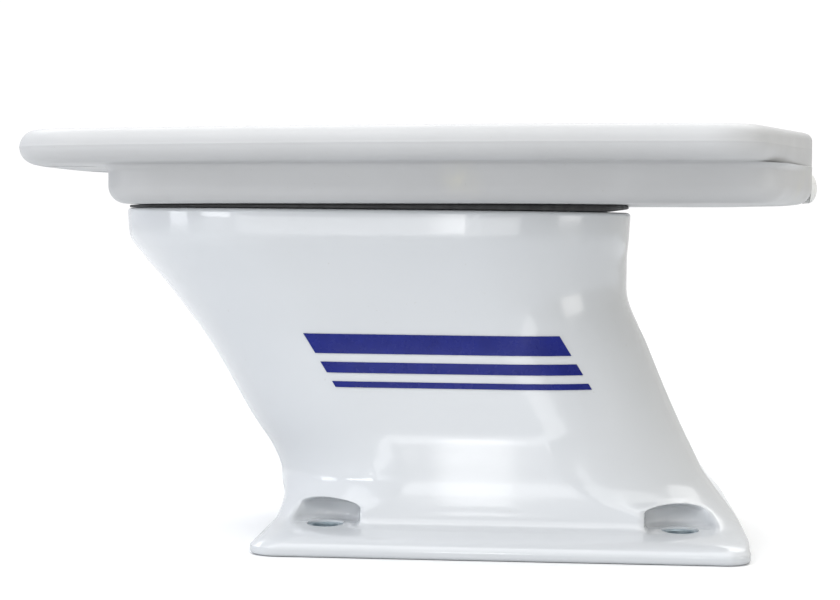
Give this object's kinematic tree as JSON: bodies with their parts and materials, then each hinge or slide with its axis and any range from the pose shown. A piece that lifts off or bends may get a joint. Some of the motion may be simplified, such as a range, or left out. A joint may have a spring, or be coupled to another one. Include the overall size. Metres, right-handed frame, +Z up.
{
  "type": "radar dome pedestal mount",
  "caption": "Forward-raked white cast pedestal on a square bolt-down base, with a rubber gasket and a modular top plate that carries a marine radar dome.",
  "frame": {"origin": "on the deck plane, under the middle of the bounding box", "axes": "+X aft (the pedestal leans towards -X, the bow), +Y to starboard, +Z up"},
  "size_m": [0.3041, 0.241, 0.1554],
  "materials": {
    "gloss_white_coat": "gloss powder coat on cast aluminium",
    "satin_white_coat": "satin powder coat on cast aluminium",
    "cover_white": "satin moulded plastic in the plate's white",
    "gasket_rubber": "matt black sheet",
    "grommet_rubber": "matt black moulding",
    "nylon": "natural nylon",
    "stainless_washer": "stainless steel",
    "stainless_bolt": "stainless steel",
    "stainless_insert": "stainless steel, tapped",
    "blue_vinyl": "adhesive vinyl"
  },
  "bodies": {
    "pedestal": {"pedestal_casting": "gloss_white_coat", "thread_insert_1": "stainless_insert", "thread_insert_2": "stainless_insert", "thread_insert_3": "stainless_insert", "thread_insert_4": "stainless_insert", "side_stripe_1": "blue_vinyl", "side_stripe_2": "blue_vinyl", "side_stripe_3": "blue_vinyl"},
    "plate": {"top_plate": "satin_white_coat", "plate_gasket": "gasket_rubber", "cable_grommet": "grommet_rubber", "isolator_bush_1": "nylon", "isolator_bush_2": "nylon", "isolator_bush_3": "nylon", "isolator_bush_4": "nylon", "flat_washer_1": "stainless_washer", "flat_washer_2": "stainless_washer", "flat_washer_3": "stainless_washer", "flat_washer_4": "stainless_washer", "lock_washer_1": "stainless_washer", "lock_washer_2": "stainless_washer", "lock_washer_3": "stainless_washer", "lock_washer_4": "stainless_washer", "plate_bolt_1": "stainless_bolt", "plate_bolt_2": "stainless_bolt", "plate_bolt_3": "stainless_bolt", "plate_bolt_4": "stainless_bolt"},
    "exit_cover": {"cable_exit_cover": "cover_white"}
  },
  "joints": [
    {"name": "plate_lift", "type": "slide", "parent": "pedestal", "child": "plate", "axis": [0, 0, 1], "range_m": [0, 0.06]},
    {"name": "exit_cover_pull", "type": "slide", "parent": "plate", "child": "exit_cover", "axis": [1, 0, 0.0093], "range_m": [0, 0.02]}
  ]
}
